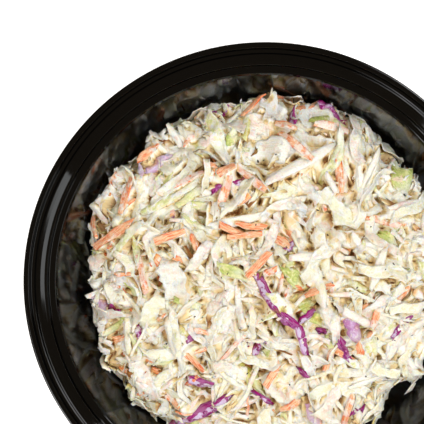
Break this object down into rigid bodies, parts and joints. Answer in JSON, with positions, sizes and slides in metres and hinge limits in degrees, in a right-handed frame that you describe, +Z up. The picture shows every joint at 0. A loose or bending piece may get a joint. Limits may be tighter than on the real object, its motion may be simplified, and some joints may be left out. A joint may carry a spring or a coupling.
{
  "type": "coleslaw in a round bowl",
  "caption": "Heap of creamy coleslaw, shredded cabbage with carrot and red cabbage, in a round black plastic bowl with a stepped rim.",
  "frame": {"origin": "middle of the bowl's foot ring, on the surface it stands on", "axes": "+Z straight up, out of the bowl's mouth; +X to the right and +Y away from a person who looks down on it"},
  "size_m": [0.16, 0.16, 0.0531],
  "materials": {
    "black_plastic": "glossy thermoformed black plastic",
    "dressed_slaw": "moist shredded vegetables in a creamy dressing"
  },
  "bodies": {
    "root": {"bowl": "black_plastic", "slaw": "dressed_slaw"}
  },
  "joints": []
}
